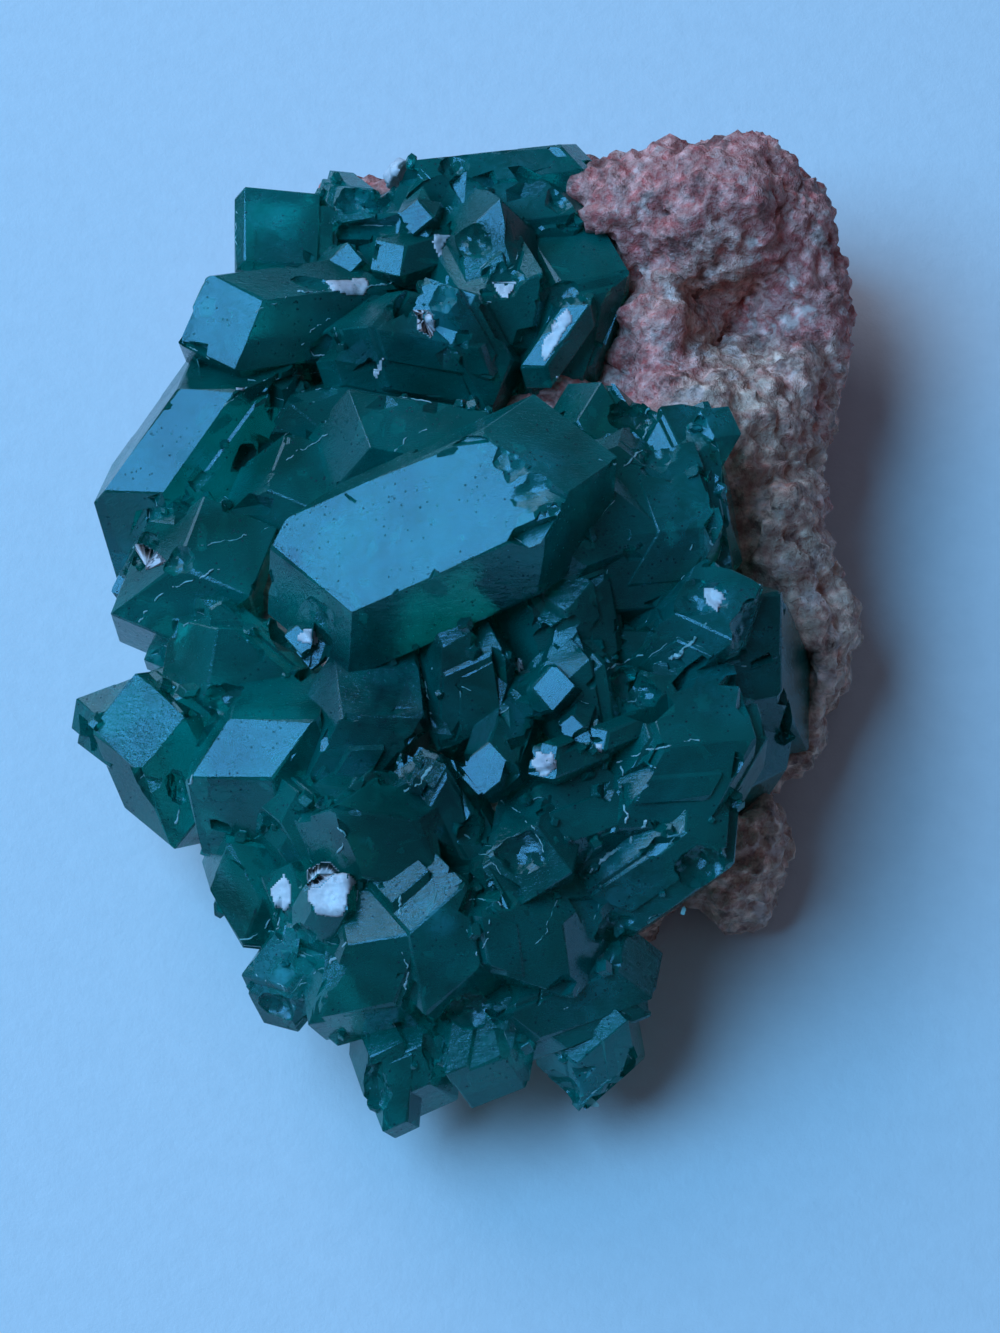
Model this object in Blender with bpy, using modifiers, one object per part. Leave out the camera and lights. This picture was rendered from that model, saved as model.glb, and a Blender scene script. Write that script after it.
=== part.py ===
"""A dioptase specimen: emerald green crystals grown together on a granular pink and brown rock.

Each crystal has the real mineral's form: a six-sided prism closed by the three sloping faces of a
rhombohedron at either end. It is cut from a block by its twelve face planes. The crystals of a
group are joined in one solid, and the rock is hollowed to take them.
"""
import math
from typing import NamedTuple

import bmesh
import bpy
from mathutils import Matrix, Vector, noise

NAME = "dioptase_specimen"
MILLIMETRE = 0.001

# The view that the crystals' places are read in: a camera high above the front of the specimen.
VIEW_RISE = math.radians(65)
VIEW_DISTANCE = 220.0
VIEW_TARGET = Vector((1.5, -4.0, 9.0))
PICTURE_MIDDLE = (500.0, 666.5)
PIXELS_PER_MILLIMETRE = 21.88

# The mineral's angles: six prism faces, and end faces that slope 51 degrees from the axis.
PRISM_STEP = 60
END_SLOPE = math.radians(51)
UPPER_ENDS = (30, 150, 270)
LOWER_ENDS = (90, 210, 330)

CLEARANCE = 0.32
BLOCK = 80.0

ROCK_VOXEL = 0.7
ROCK_LUMP_HEIGHT = 0.9
ROCK_LUMP_SIZE = 3.2
ROCK_GRAIN_HEIGHT = 0.35
ROCK_GRAIN_SIZE = 1.3
ROCK_KEPT = 0.16

GRAIN_RADII = (0.95, 0.8, 1.7)
GRAIN_BUMP_HEIGHT = 0.25
GRAIN_BUMP_SIZE = 0.9


class Crystal(NamedTuple):
    """One crystal. Lengths are millimetres and angles are degrees.

    seen: where the part named by point shows in the picture, in pixels
    height: how high that point is above the surface the specimen rests on
    axis: azimuth and rise of the long axis; spin: turn about it
    length: from tip to tip; widths: between the three pairs of prism faces
    point: corner, where an end face meets two prism faces; end or side, the middle of such a face
    """
    name: str
    point: str
    seen: tuple
    height: float
    axis: tuple
    spin: float
    length: float
    widths: tuple


MAIN_CRYSTALS = (
    Crystal("central", "corner", (352, 612), 17.5, (-165, -24), 24, 17.8, (7.6, 6.0, 7.6)),
    Crystal("lower_left_block", "corner", (272, 779), 13.0, (-126, -15), 32, 10.0, (6.0, 6.4, 6.0)),
    Crystal("left_tip", "corner", (140, 772), 9.5, (119, 52), 21, 9.6, (5.0, 4.8, 4.8)),
    Crystal("long_left", "side", (175, 434), 12.0, (-128, -19), 33, 14.8, (5.2, 8.4, 7.4)),
    Crystal("left_round", "side", (180, 605), 10.5, (22, 36), 64, 10.0, (5.4, 5.4, 5.4)),
    Crystal("under_long_left", "side", (150, 558), 9.5, (51, 42), 24, 7.6, (3.4, 3.4, 3.4)),
    Crystal("left_upper_tip", "side", (150, 690), 10.0, (15, 15), 16, 8.6, (3.6, 3.6, 3.6)),
    Crystal("between_blocks", "side", (250, 690), 11.0, (148, 29), 5, 9.0, (5.0, 4.2, 5.0)),
    Crystal("left_hollow", "end", (304, 637), 14.0, (-105, 24), 74, 6.0, (1.9, 1.9, 1.9)),
    Crystal("back_left", "side", (385, 412), 11.5, (21, -10), 38, 12.0, (5.2, 5.0, 5.6)),
    Crystal("back_middle", "side", (430, 430), 15.0, (167, -4), 34, 12.0, (5.0, 5.0, 5.0)),
    Crystal("back_right", "side", (615, 438), 15.5, (119, 5), 30, 8.0, (4.4, 4.4, 4.4)),
    Crystal("right_top", "end", (697, 428), 16.0, (57, 23), 77, 9.0, (3.8, 4.0, 3.8)),
    Crystal("right_upper", "side", (690, 512), 15.5, (101, 29), 48, 10.4, (6.2, 6.0, 6.4)),
    Crystal("right_inner", "side", (590, 520), 18.0, (25, -6), 53, 11.0, (6.4, 6.4, 6.4)),
    Crystal("right_middle", "side", (655, 570), 16.0, (55, 32), 68, 11.0, (6.4, 6.4, 6.4)),
    Crystal("right_pointed", "end", (742, 655), 13.5, (178, 76), 24, 13.0, (6.4, 6.0, 6.4)),
    Crystal("right_leaning", "side", (670, 650), 14.5, (20, 39), 59, 9.0, (4.6, 4.6, 4.6)),
    Crystal("right_edge", "side", (775, 735), 8.5, (80, 13), 82, 9.0, (4.6, 4.6, 4.6)),
    Crystal("lower_right_dark", "side", (685, 785), 14.0, (56, 27), 57, 11.0, (6.2, 6.2, 6.2)),
    Crystal("lower_right_bright", "side", (650, 885), 11.5, (30, 20), 76, 11.0, (5.4, 5.4, 5.4)),
    Crystal("bottom_right", "side", (582, 1010), 8.5, (22, -1), 79, 9.5, (5.4, 5.0, 5.0)),
    Crystal("bottom_right_tip", "side", (604, 1068), 6.0, (107, 62), 33, 7.4, (4.2, 4.2, 4.4)),
    Crystal("bottom_centre", "side", (478, 1037), 8.5, (79, 23), 28, 6.6, (4.2, 3.6, 3.8)),
    Crystal("bottom_left", "side", (400, 1076), 7.0, (-96, -43), 31, 6.6, (4.4, 4.2, 4.4)),
    Crystal("cracked_upper", "side", (285, 955), 9.5, (42, 34), 23, 7.0, (3.6, 3.6, 3.6)),
    Crystal("cracked_lower", "side", (310, 1000), 8.5, (141, 10), 334, 7.0, (3.6, 3.6, 3.6)),
    Crystal("cracked_edge", "side", (235, 895), 9.0, (122, 19), 343, 7.0, (3.8, 3.8, 3.8)),
    Crystal("lower_dark_left", "side", (370, 975), 11.5, (64, 42), 42, 9.0, (5.0, 5.0, 5.0)),
    Crystal("lower_dark_middle", "side", (445, 950), 12.5, (103, 40), 28, 9.0, (4.8, 4.8, 4.8)),
    Crystal("lower_dark_right", "side", (535, 950), 12.0, (169, 23), 348, 9.0, (5.4, 5.4, 5.4)),
    Crystal("middle_dark", "side", (390, 850), 14.0, (171, 3), 354, 9.0, (5.0, 5.0, 5.0)),
    Crystal("white_chip", "end", (330, 892), 13.0, (42, 58), 60, 5.0, (2.5, 2.5, 2.5)),
    Crystal("pale_chip", "end", (283, 888), 11.0, (109, 66), 5, 5.5, (2.6, 2.6, 2.6)),
    Crystal("under_white_chip", "side", (312, 850), 11.0, (128, 39), 4, 8.0, (4.6, 4.6, 4.6)),
    Crystal("grey_hexagon", "end", (487, 768), 15.2, (-105, 24), 74, 7.0, (2.6, 2.6, 2.6)),
    Crystal("grey_square", "end", (543, 762), 15.4, (-149, 20), 56, 5.0, (1.8, 1.8, 1.8)),
    Crystal("grey_tilted", "end", (553, 687), 16.0, (-18, 51), 81, 5.0, (2.2, 2.2, 2.2)),
    Crystal("grey_small_upper", "end", (572, 728), 15.4, (-105, 24), 74, 4.0, (1.4, 1.4, 1.4)),
    Crystal("grey_small_right", "end", (598, 738), 15.2, (-149, 20), 56, 4.0, (1.3, 1.3, 1.3)),
    Crystal("grey_textured", "end", (530, 865), 14.0, (-101, 20), 59, 8.0, (3.8, 3.8, 3.8)),
    Crystal("green_middle", "side", (470, 700), 14.5, (84, 42), 34, 8.0, (4.2, 4.2, 4.2)),
    Crystal("dark_hollow_left", "side", (360, 755), 13.0, (52, 40), 54, 10.0, (5.4, 5.4, 5.4)),
    Crystal("dark_hollow_middle", "side", (450, 835), 13.5, (125, 32), 23, 8.0, (4.4, 4.4, 4.4)),
    Crystal("dark_hollow_right", "side", (600, 800), 13.5, (25, -8), 41, 9.0, (5.4, 5.4, 5.4)),
    Crystal("dark_under_central", "side", (590, 640), 15.0, (103, 42), 48, 9.0, (5.0, 5.2, 5.4)),
    Crystal("dark_left_gap", "side", (272, 520), 11.6, (22, 36), 64, 8.0, (4.6, 4.6, 4.6)),
    Crystal("dark_among_chips", "side", (588, 712), 14.6, (103, 40), 28, 7.0, (3.8, 3.8, 3.8)),
)

UPPER_CRYSTALS = (
    Crystal("top_left_block", "end", (282, 227), 11.5, (28, 47), 82, 6.4, (5.2, 5.2, 5.2)),
    Crystal("top_left_side", "end", (350, 212), 11.0, (-62, 38), 69, 5.2, (3.8, 3.8, 3.8)),
    Crystal("upper_left_prism", "corner", (265, 300), 14.5, (-157, 24), 50, 12.4, (4.6, 5.2, 4.8)),
    Crystal("top_centre", "side", (492, 188), 12.5, (-172, 0), 32, 12.0, (6.6, 6.4, 6.6)),
    Crystal("grey_upper", "side", (485, 250), 13.5, (101, 19), 20, 7.3, (4.0, 4.0, 4.0)),
    Crystal("blue_upper", "end", (438, 312), 14.0, (130, 44), 29, 8.0, (4.0, 4.0, 4.0)),
    Crystal("green_upper", "side", (500, 320), 12.5, (78, 35), 43, 9.0, (5.6, 5.6, 5.6)),
    Crystal("upper_right_round", "side", (578, 325), 11.5, (68, 24), 55, 10.0, (5.0, 5.0, 5.0)),
    Crystal("white_sliver", "side", (555, 335), 12.6, (53, 19), 26, 5.5, (1.8, 1.8, 1.8)),
    Crystal("dark_upper", "side", (420, 365), 13.0, (175, 13), 346, 9.0, (4.8, 4.8, 4.8)),
    Crystal("chip_upper", "end", (415, 217), 13.2, (-105, 24), 74, 5.0, (1.9, 1.9, 1.9)),
    Crystal("chip_lower", "end", (388, 258), 13.0, (-149, 20), 56, 5.0, (2.2, 2.2, 2.2)),
    Crystal("chip_left", "end", (346, 260), 12.0, (-22, 50), 83, 4.0, (1.8, 1.8, 1.8)),
    Crystal("upper_middle", "side", (420, 265), 11.0, (144, 20), 14, 8.0, (4.6, 4.6, 4.6)),
    Crystal("cyan_small", "end", (397, 205), 11.0, (9, 45), 60, 5.0, (2.2, 2.2, 2.2)),
)


class Lump(NamedTuple):
    """One rounded mass, in millimetres, placed by its middle."""
    seen: tuple
    height: float
    radii: tuple


class Pit(NamedTuple):
    """One hollow in the rock, in millimetres, placed by its middle."""
    seen: tuple
    height: float
    radii: tuple
    depth: float


ROCK_LUMPS = (
    Lump((716, 240), 8.6, (4.8, 4.3, 5.9)),
    Lump((630, 250), 7.5, (3.4, 3.4, 5.3)),
    Lump((772, 250), 7.0, (3.2, 3.5, 5.3)),
    Lump((600, 252), 6.5, (2.4, 2.6, 4.6)),
    Lump((797, 318), 6.5, (2.4, 4.5, 5.0)),
    Lump((705, 345), 7.5, (4.4, 5.0, 5.6)),
    Lump((770, 420), 6.5, (2.4, 5.0, 5.2)),
    Lump((700, 480), 6.0, (5.0, 6.0, 6.0)),
    Lump((775, 560), 5.5, (2.5, 6.0, 5.0)),
    Lump((795, 640), 4.5, (2.3, 4.5, 4.2)),
    Lump((765, 700), 4.2, (2.6, 4.0, 4.0)),
    Lump((732, 850), 3.6, (2.5, 3.2, 3.6)),
    Lump((510, 390), 5.6, (7.0, 4.4, 5.4)),
    Lump((500, 600), 6.0, (10.0, 8.0, 6.2)),
    Lump((480, 790), 5.0, (8.0, 6.0, 5.2)),
    Lump((320, 560), 5.0, (6.0, 8.0, 5.0)),
    Lump((400, 300), 5.5, (6.0, 3.6, 4.8)),
    Lump((395, 250), 5.2, (4.6, 2.8, 4.4)),
    Lump((620, 800), 4.5, (5.0, 5.0, 4.6)),
    Lump((470, 935), 4.6, (5.5, 4.5, 4.8)),
    Lump((325, 310), 4.4, (3.6, 3.6, 4.4)),
    Lump((490, 245), 5.2, (5.0, 3.2, 5.0)),
    Lump((560, 240), 6.0, (3.6, 3.0, 5.2)),
    Lump((560, 640), 1.8, (11.0, 9.0, 3.6)),
    Lump((520, 360), 1.8, (12.0, 7.0, 3.6)),
    Lump((520, 850), 1.8, (7.5, 6.5, 3.4)),
    Lump((330, 620), 1.8, (6.0, 9.0, 3.4)),
    Lump((720, 420), 1.8, (4.0, 12.0, 3.6)),
)

ROCK_PITS = (
    Pit((738, 320), 12.0, (2.6, 1.8, 3.0), 2.6),
    Pit((700, 290), 13.0, (1.6, 1.2, 2.0), 1.4),
)


PALE_GRAIN = Lump((404, 182), 11.0, GRAIN_RADII)


def view_axes():
    """Right, up and towards the viewer, as world directions."""
    right = Vector((1, 0, 0))
    up = Vector((0, math.sin(VIEW_RISE), math.cos(VIEW_RISE)))
    back = Vector((0, -math.cos(VIEW_RISE), math.sin(VIEW_RISE)))
    return right, up, back


def place(seen, height):
    """The point at this height, in millimetres, that shows at this pixel of the picture."""
    right, up, back = view_axes()
    scale = PIXELS_PER_MILLIMETRE * VIEW_DISTANCE
    across = (seen[0] - PICTURE_MIDDLE[0]) / scale
    down = (seen[1] - PICTURE_MIDDLE[1]) / scale
    ray = right * across - up * down - back
    eye = VIEW_TARGET + back * VIEW_DISTANCE
    return eye + ray * ((height - eye.z) / ray.z)


def turned(crystal):
    """The rotation that turns a crystal's own axes into the world's."""
    azimuth, rise = (math.radians(angle) for angle in crystal.axis)
    axis = Vector((math.cos(azimuth) * math.cos(rise), math.sin(azimuth) * math.cos(rise), math.sin(rise)))
    level = Vector((-math.sin(azimuth), math.cos(azimuth), 0))
    lifted = axis.cross(level)
    spin = math.radians(crystal.spin)
    first = level * math.cos(spin) + lifted * math.sin(spin)
    return Matrix((first, axis.cross(first), axis)).transposed()


def flat_direction(angle):
    return Vector((math.cos(math.radians(angle)), math.sin(math.radians(angle)), 0))


def end_direction(angle, way):
    """Outward normal of an end face: way is 1 at the upper end and -1 at the lower end."""
    return flat_direction(angle) * math.sin(END_SLOPE) + Vector((0, 0, way * math.cos(END_SLOPE)))


def face_planes(crystal):
    """Normal and distance from the middle of the twelve faces."""
    planes = []
    for step in range(6):
        planes.append((flat_direction(step * PRISM_STEP), crystal.widths[step % 3] / 2))
    reach = crystal.length / 2 * math.cos(END_SLOPE)
    planes += [(end_direction(angle, 1), reach) for angle in UPPER_ENDS]
    planes += [(end_direction(angle, -1), reach) for angle in LOWER_ENDS]
    return planes


def meeting_point(planes):
    """Where three planes meet."""
    normals = Matrix([normal for normal, distance in planes])
    return normals.inverted() @ Vector([distance for normal, distance in planes])


def named_point(crystal):
    """The point of the crystal that its place is given for, from the crystal's middle."""
    planes = face_planes(crystal)
    corner = meeting_point((planes[0], planes[1], planes[6]))
    if crystal.point == "corner":
        return corner
    if crystal.point == "end":
        return (corner + Vector((0, 0, crystal.length / 2))) / 2
    level = (Vector((0, 0, 1)), 0)
    return (meeting_point((planes[0], planes[1], level)) + meeting_point((planes[1], planes[2], level))) / 2


def add_crystal(bm, crystal, clearance=0.0):
    """Cuts a block by the crystal's faces, each moved out by the clearance, and adds it to the mesh."""
    block = bmesh.new()
    bmesh.ops.create_cube(block, size=BLOCK)
    for normal, distance in face_planes(crystal):
        bmesh.ops.bisect_plane(
            block,
            geom=block.verts[:] + block.edges[:] + block.faces[:],
            dist=1e-5,
            plane_co=normal * (distance + clearance),
            plane_no=normal,
            clear_outer=True,
        )
        bmesh.ops.holes_fill(block, edges=block.edges[:], sides=0)
    bmesh.ops.recalc_face_normals(block, faces=block.faces[:])
    rotation = turned(crystal)
    middle = place(crystal.seen, crystal.height) - rotation @ named_point(crystal)
    block.transform(Matrix.Scale(MILLIMETRE, 4) @ Matrix.Translation(middle) @ rotation.to_4x4())
    piece = bpy.data.meshes.new(crystal.name)
    block.to_mesh(piece)
    block.free()
    bm.from_mesh(piece)
    bpy.data.meshes.remove(piece)


def object_from(bm, name, collection):
    mesh = bpy.data.meshes.new(name)
    bm.to_mesh(mesh)
    bm.free()
    made = bpy.data.objects.new(name, mesh)
    collection.objects.link(made)
    return made


def make_cutter(name, crystals, clearance, collection):
    """All these crystals, overlapping, as one guide object."""
    bm = bmesh.new()
    for crystal in crystals:
        add_crystal(bm, crystal, clearance)
    cutter = object_from(bm, name, collection)
    cutter.hide_render = True
    cutter.display_type = "WIRE"
    return cutter


def add_boolean(target, cutter, operation):
    modifier = target.modifiers.new(operation.lower(), "BOOLEAN")
    modifier.operation = operation
    modifier.solver = "EXACT"
    modifier.use_self = True
    modifier.object = cutter
    return modifier


def settle(target):
    """Applies the modifiers and keeps the largest body, without chips that a cut has set free."""
    graph = bpy.context.evaluated_depsgraph_get()
    mesh = bpy.data.meshes.new_from_object(target.evaluated_get(graph))
    target.modifiers.clear()
    old = target.data
    target.data = mesh
    bpy.data.meshes.remove(old)
    bm = bmesh.new()
    bm.from_mesh(mesh)
    bmesh.ops.dissolve_degenerate(bm, dist=1e-6, edges=bm.edges[:])
    bodies = separate_bodies(bm)
    keep = max(bodies, key=body_volume)
    loose = [face for body in bodies if body is not keep for face in body]
    bmesh.ops.delete(bm, geom=loose, context="FACES")
    bmesh.ops.delete(bm, geom=[vert for vert in bm.verts if not vert.link_faces], context="VERTS")
    bm.to_mesh(mesh)
    bm.free()


def separate_bodies(bm):
    left = set(bm.faces)
    bodies = []
    while left:
        body = []
        queue = [left.pop()]
        while queue:
            face = queue.pop()
            body.append(face)
            for edge in face.edges:
                if len(edge.link_faces) != 2:
                    continue
                for other in edge.link_faces:
                    if other in left:
                        left.remove(other)
                        queue.append(other)
        bodies.append(body)
    return bodies


def body_volume(faces):
    total = 0.0
    for face in faces:
        points = [vert.co for vert in face.verts]
        for second, third in zip(points[1:], points[2:]):
            total += points[0].dot(second.cross(third)) / 6
    return abs(total)


def principled(name, colour, roughness, transmission=0.0):
    material = bpy.data.materials.new(name)
    material.use_nodes = True
    shader = material.node_tree.nodes["Principled BSDF"]
    shader.inputs["Base Color"].default_value = (*colour, 1)
    shader.inputs["Roughness"].default_value = roughness
    shader.inputs["Transmission Weight"].default_value = transmission
    return material


def add_ball(bm, lump, fineness, clearance=0.0):
    """A ball stretched to the lump's radii."""
    radii = [radius + clearance for radius in lump.radii]
    made = bmesh.ops.create_icosphere(bm, subdivisions=fineness, radius=1)
    matrix = (
        Matrix.Scale(MILLIMETRE, 4)
        @ Matrix.Translation(place(lump.seen, lump.height))
        @ Matrix.Diagonal((*radii, 1))
    )
    bmesh.ops.transform(bm, matrix=matrix, verts=made["verts"])


def make_grain(name, collection, clearance=0.0):
    """The pale grain beside the top crystals."""
    bm = bmesh.new()
    add_ball(bm, PALE_GRAIN, 2, clearance)
    grain = object_from(bm, name, collection)
    roughen(grain.data, ((GRAIN_BUMP_SIZE, GRAIN_BUMP_HEIGHT),))
    return grain


def make_rock(collection):
    """Rounded lumps run together, pitted and roughened, and cut flat where it rests."""
    bm = bmesh.new()
    for lump in ROCK_LUMPS:
        add_ball(bm, lump, 3)
    rock = object_from(bm, "matrix", collection)
    remesh = rock.modifiers.new("remesh", "REMESH")
    remesh.mode = "VOXEL"
    remesh.voxel_size = ROCK_VOXEL * MILLIMETRE
    settle(rock)
    press_pits(rock.data)
    roughen(rock.data, ((ROCK_LUMP_SIZE, ROCK_LUMP_HEIGHT), (ROCK_GRAIN_SIZE, ROCK_GRAIN_HEIGHT)))
    decimate = rock.modifiers.new("decimate", "DECIMATE")
    decimate.ratio = ROCK_KEPT
    settle(rock)
    cut_flat(rock.data)
    return rock


def roughen(mesh, layers):
    """Pushes the surface in and out along its normals: each layer is a bump size and height."""
    mesh.update()
    moved = []
    for vertex in mesh.vertices:
        point = vertex.co / MILLIMETRE
        push = sum(noise.noise(point / size) * height for size, height in layers)
        moved.append(vertex.co + vertex.normal * push * MILLIMETRE)
    for vertex, point in zip(mesh.vertices, moved):
        vertex.co = point


def press_pits(mesh):
    """Draws the surface away from the viewer round the middle of each pit."""
    right, up, back = view_axes()
    for pit in ROCK_PITS:
        middle = place(pit.seen, pit.height)
        for vertex in mesh.vertices:
            offset = vertex.co / MILLIMETRE - middle
            spread = Vector([part / radius for part, radius in zip(offset, pit.radii)]).length
            vertex.co -= back * pit.depth * math.exp(-spread * spread) * MILLIMETRE


def cut_flat(mesh):
    """Cuts the rock off level where it rests."""
    bm = bmesh.new()
    bm.from_mesh(mesh)
    bmesh.ops.bisect_plane(
        bm,
        geom=bm.verts[:] + bm.edges[:] + bm.faces[:],
        dist=1e-6,
        plane_co=(0, 0, 0),
        plane_no=(0, 0, -1),
        clear_outer=True,
    )
    bmesh.ops.holes_fill(bm, edges=bm.edges[:], sides=0)
    bmesh.ops.recalc_face_normals(bm, faces=bm.faces[:])
    bm.to_mesh(mesh)
    bm.free()


def make_cluster(name, crystals, collection, guides):
    """Crystals grown together: the first one, with the others joined to it."""
    bm = bmesh.new()
    add_crystal(bm, crystals[0])
    cluster = object_from(bm, name, collection)
    others = make_cutter(name + "_others", crystals[1:], 0.0, guides)
    add_boolean(cluster, others, "UNION")
    return cluster


def main():
    for old in list(bpy.data.objects):
        bpy.data.objects.remove(old)
    parts = bpy.data.collections.new(NAME)
    guides = bpy.data.collections.new("guides")
    bpy.context.scene.collection.children.link(parts)
    bpy.context.scene.collection.children.link(guides)
    main_cluster = make_cluster("main_cluster", MAIN_CRYSTALS, parts, guides)
    upper_cluster = make_cluster("upper_cluster", UPPER_CRYSTALS, parts, guides)
    main_room = make_cutter("main_room", MAIN_CRYSTALS, CLEARANCE, guides)
    upper_room = make_cutter("upper_room", UPPER_CRYSTALS, CLEARANCE, guides)
    add_boolean(upper_cluster, main_room, "DIFFERENCE")
    rock = make_rock(parts)
    add_boolean(rock, main_room, "DIFFERENCE")
    add_boolean(rock, upper_room, "DIFFERENCE")
    grain_room = make_grain("grain_room", guides, CLEARANCE)
    grain_room.hide_render = True
    grain_room.display_type = "WIRE"
    add_boolean(rock, grain_room, "DIFFERENCE")
    grain = make_grain("pale_grain", parts)
    add_boolean(grain, upper_room, "DIFFERENCE")
    for target in (main_cluster, upper_cluster, rock, grain):
        settle(target)
    green = principled("dioptase", (0.005, 0.12, 0.11), 0.12, 0.6)
    pink = principled("rock", (0.42, 0.24, 0.22), 0.9)
    pale = principled("grain", (0.62, 0.52, 0.55), 0.6)
    main_cluster.data.materials.append(green)
    upper_cluster.data.materials.append(green)
    rock.data.materials.append(pink)
    grain.data.materials.append(pale)


main()
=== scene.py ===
"""The looks of a dioptase specimen: glassy green crystals, worn and full of cracks, on a granular rock.

The crystals are rebuilt with the places and sizes of the fixed model, in millimetres, with worn
edges, growth layers, broken spots and small crystals between them. The rock and the pale grain are
the fixed model's own shapes with a finer surface.
"""
import math
import random
from typing import NamedTuple

import bmesh
import bpy
from mathutils import Matrix, Vector, noise
from mathutils.bvhtree import BVHTree


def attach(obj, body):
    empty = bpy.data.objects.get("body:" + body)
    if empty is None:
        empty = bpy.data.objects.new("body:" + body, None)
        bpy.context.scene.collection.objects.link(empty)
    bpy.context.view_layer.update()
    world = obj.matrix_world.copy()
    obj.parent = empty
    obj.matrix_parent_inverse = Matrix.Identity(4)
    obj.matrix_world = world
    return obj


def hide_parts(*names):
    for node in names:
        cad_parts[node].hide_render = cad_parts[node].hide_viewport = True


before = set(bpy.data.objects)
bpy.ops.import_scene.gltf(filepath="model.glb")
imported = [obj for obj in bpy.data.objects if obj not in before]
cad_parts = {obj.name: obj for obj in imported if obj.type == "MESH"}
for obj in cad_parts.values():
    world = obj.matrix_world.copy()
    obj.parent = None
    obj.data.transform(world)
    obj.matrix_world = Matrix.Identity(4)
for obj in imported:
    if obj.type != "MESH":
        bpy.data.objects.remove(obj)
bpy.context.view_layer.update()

MILLIMETRE = 0.001

# The view: a camera high above the front of the specimen, as in the photograph.
VIEW_RISE = math.radians(65)
VIEW_DISTANCE = 220.0
VIEW_TARGET = Vector((1.5, -4.0, 9.0))
LENS = 130
SENSOR = 36
PICTURE_MIDDLE = (500.0, 666.5)
PICTURE_HEIGHT = 1333
PIXELS_PER_MILLIMETRE = PICTURE_HEIGHT / SENSOR * LENS / VIEW_DISTANCE

# The mineral's angles: six prism faces, and end faces that slope 51 degrees from the axis.
PRISM_STEP = 60
END_SLOPE = math.radians(51)
UPPER_ENDS = (30, 150, 270)
LOWER_ENDS = (90, 210, 330)
BLOCK = 80.0
EDGE_WEAR = 0.022


class Crystal(NamedTuple):
    """One crystal. Lengths are millimetres and angles are degrees.

    seen: where the part named by point shows in the picture, in pixels
    height: how high that point is above the surface the specimen rests on
    axis: azimuth and rise of the long axis; spin: turn about it
    length: from tip to tip; widths: between the three pairs of prism faces
    point: corner, where an end face meets two prism faces; end or side, the middle of such a face
    layers: how many growth layers stand on its faces
    """
    name: str
    point: str
    seen: tuple
    height: float
    axis: tuple
    spin: float
    length: float
    widths: tuple
    layers: int = 3


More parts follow.
